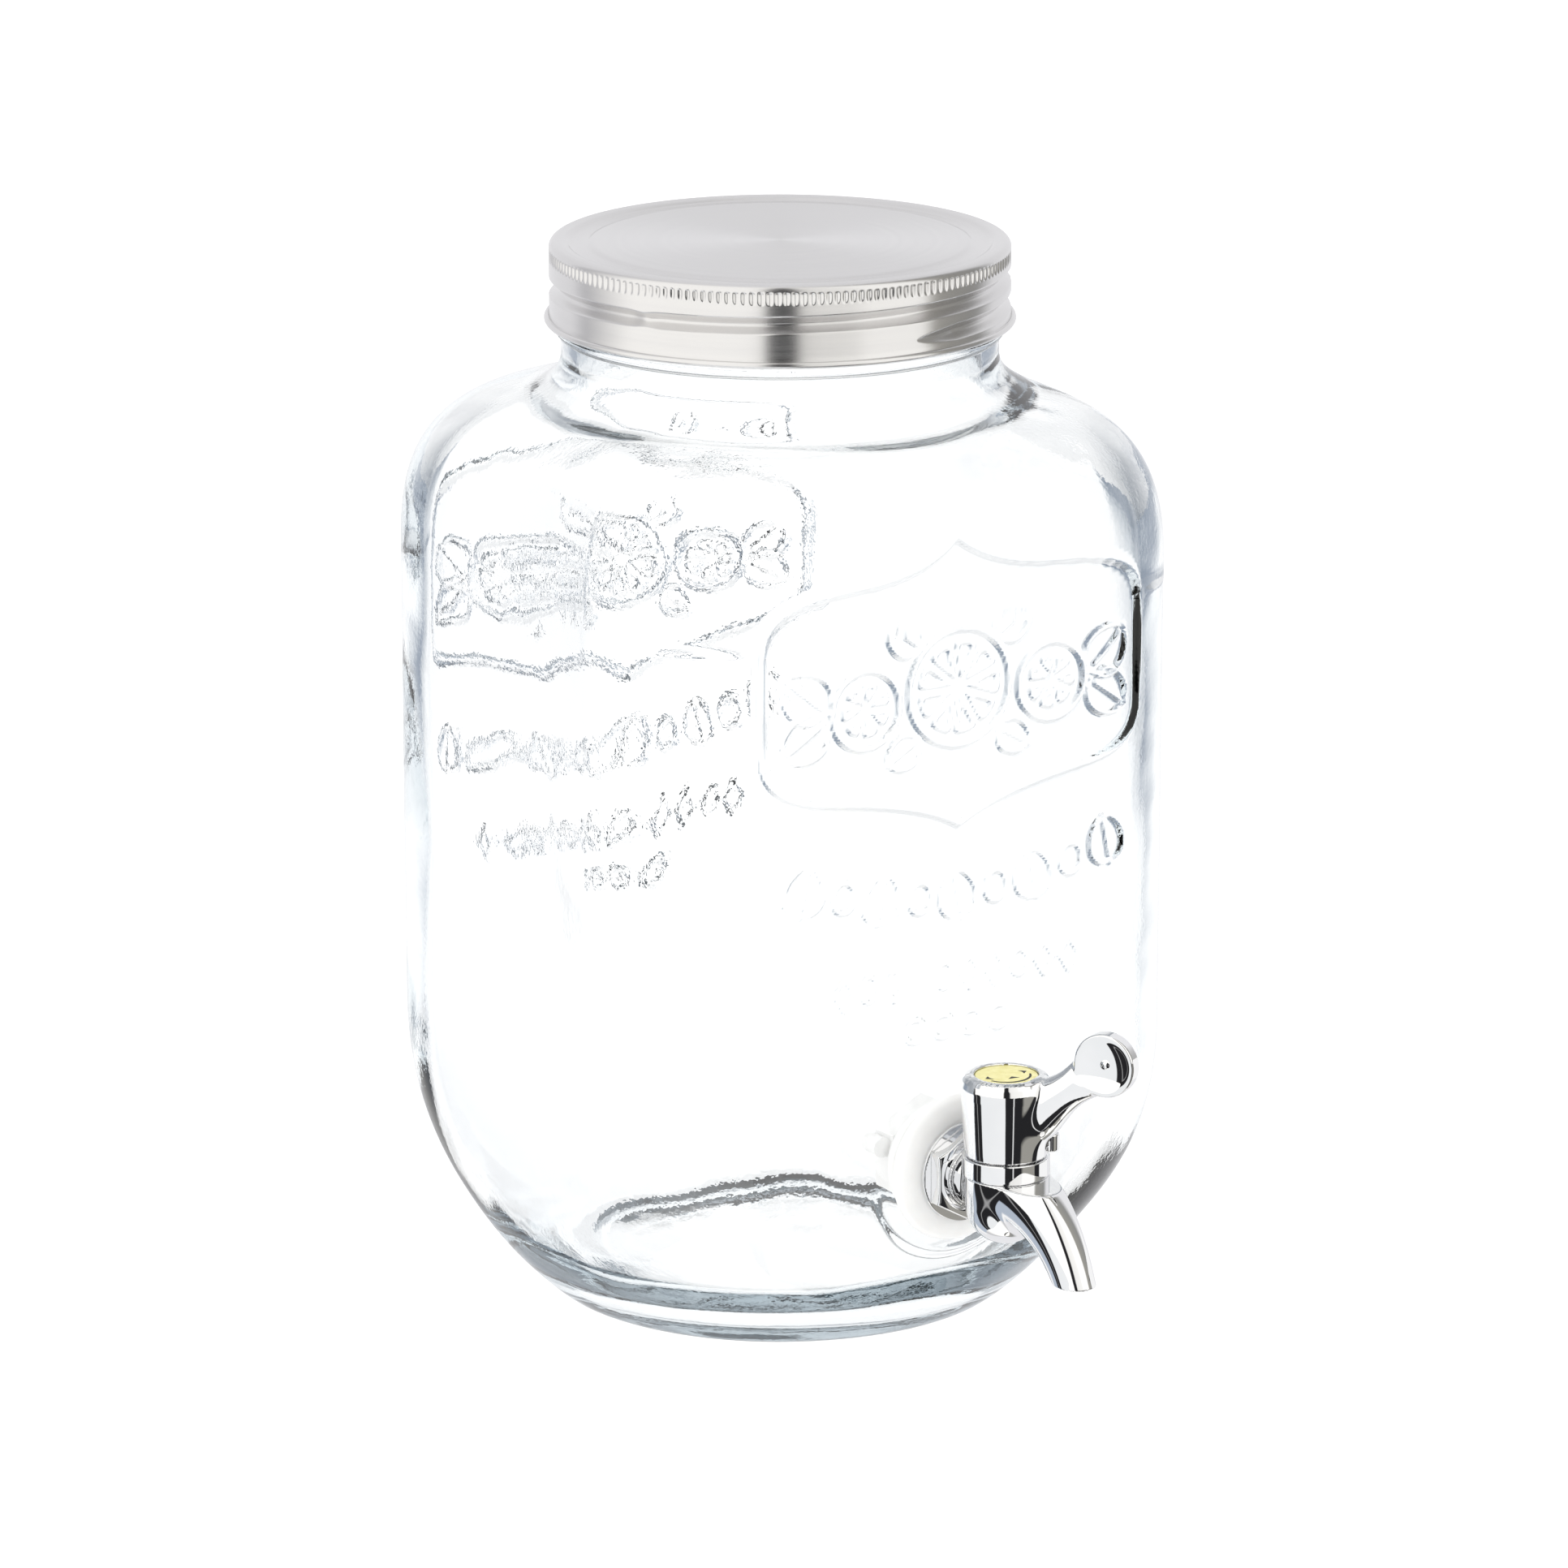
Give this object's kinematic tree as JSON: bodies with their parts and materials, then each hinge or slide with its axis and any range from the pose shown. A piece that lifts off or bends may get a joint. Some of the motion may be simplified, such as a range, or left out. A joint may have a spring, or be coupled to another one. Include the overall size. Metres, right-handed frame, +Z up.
{
  "type": "beverage dispenser",
  "caption": "Square glass jar drink dispenser with a screw-on brushed steel lid and a chrome lever tap low on its front face",
  "frame": {"origin": "centre of the foot ring, on the surface that the jar stands on", "axes": "+Z up along the jar's axis and out of its mouth, -Y out of the front face along the tap, +X to the right as seen from the front"},
  "size_m": [0.15, 0.2039, 0.25],
  "materials": {
    "clear_glass": "clear pressed glass",
    "brushed_lid": "brushed in circles",
    "tap_chrome": "bright chrome plate",
    "bright_steel": "bright steel",
    "silicone": "milky silicone rubber",
    "white_plastic": "white moulded plastic",
    "grey_plastic": "grey acetal",
    "black_rubber": "black rubber",
    "yellow_label": "pale yellow label"
  },
  "bodies": {
    "jar": {"glass_jar": "clear_glass", "outer_gasket": "silicone", "inner_gasket": "silicone", "slip_washer": "white_plastic", "wing_nut": "white_plastic", "front_flange": "tap_chrome", "hex_nut": "tap_chrome", "tap_body": "tap_chrome", "collar_ring": "tap_chrome", "retaining_clip": "bright_steel"},
    "tap_handle": {"handle": "tap_chrome", "valve_plug": "grey_plastic", "upper_o_ring": "black_rubber", "lower_o_ring": "black_rubber", "thrust_washer": "white_plastic", "handle_screw": "bright_steel", "screw_washer": "bright_steel", "indicator_disc": "yellow_label"},
    "lid_seal": {"lid_liner": "white_plastic"},
    "lid": {"lid_shell": "brushed_lid"}
  },
  "joints": [
    {"name": "tap_turn", "type": "hinge", "parent": "jar", "child": "tap_handle", "pos_m": [0, -0.0957, 0.055], "axis": [0, 0, 1], "range_deg": [0, 90]},
    {"name": "lid_lift", "type": "slide", "parent": "jar", "child": "lid_seal", "axis": [0, 0, 1], "range_m": [0, 0.0196]},
    {"name": "lid_turn", "type": "hinge", "parent": "lid_seal", "child": "lid", "pos_m": [0, 0, 0.24], "axis": [0, 0, 1], "range_deg": [0, 1170]}
  ],
  "couplings": [
    {"joint": "lid_lift", "follows": "lid_turn", "m_per_rad": 0.00095493}
  ]
}
